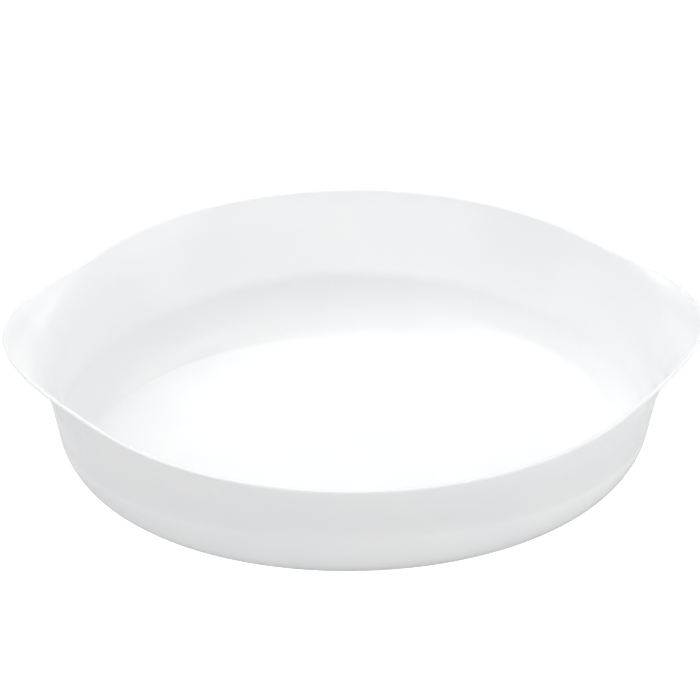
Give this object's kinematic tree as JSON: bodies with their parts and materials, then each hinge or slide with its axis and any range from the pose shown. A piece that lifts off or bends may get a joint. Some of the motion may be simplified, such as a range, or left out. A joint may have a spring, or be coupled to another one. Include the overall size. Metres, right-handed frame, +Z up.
{
  "type": "bedpan",
  "caption": "Open shallow one-piece bedpan: nearly round bowl with a leaning, softly shouldered wall, coved flat floor and a broad flared lip at each side.",
  "frame": {"origin": "middle of the base, on the surface that the pan stands on", "axes": "+X to the tip of one lip, +Y to the far side of the bowl, +Z up out of the open top"},
  "size_m": [0.3998, 0.3368, 0.0849],
  "materials": {
    "white_plastic": "smooth glossy white polypropylene"
  },
  "bodies": {
    "root": {"pan": "white_plastic"}
  },
  "joints": []
}
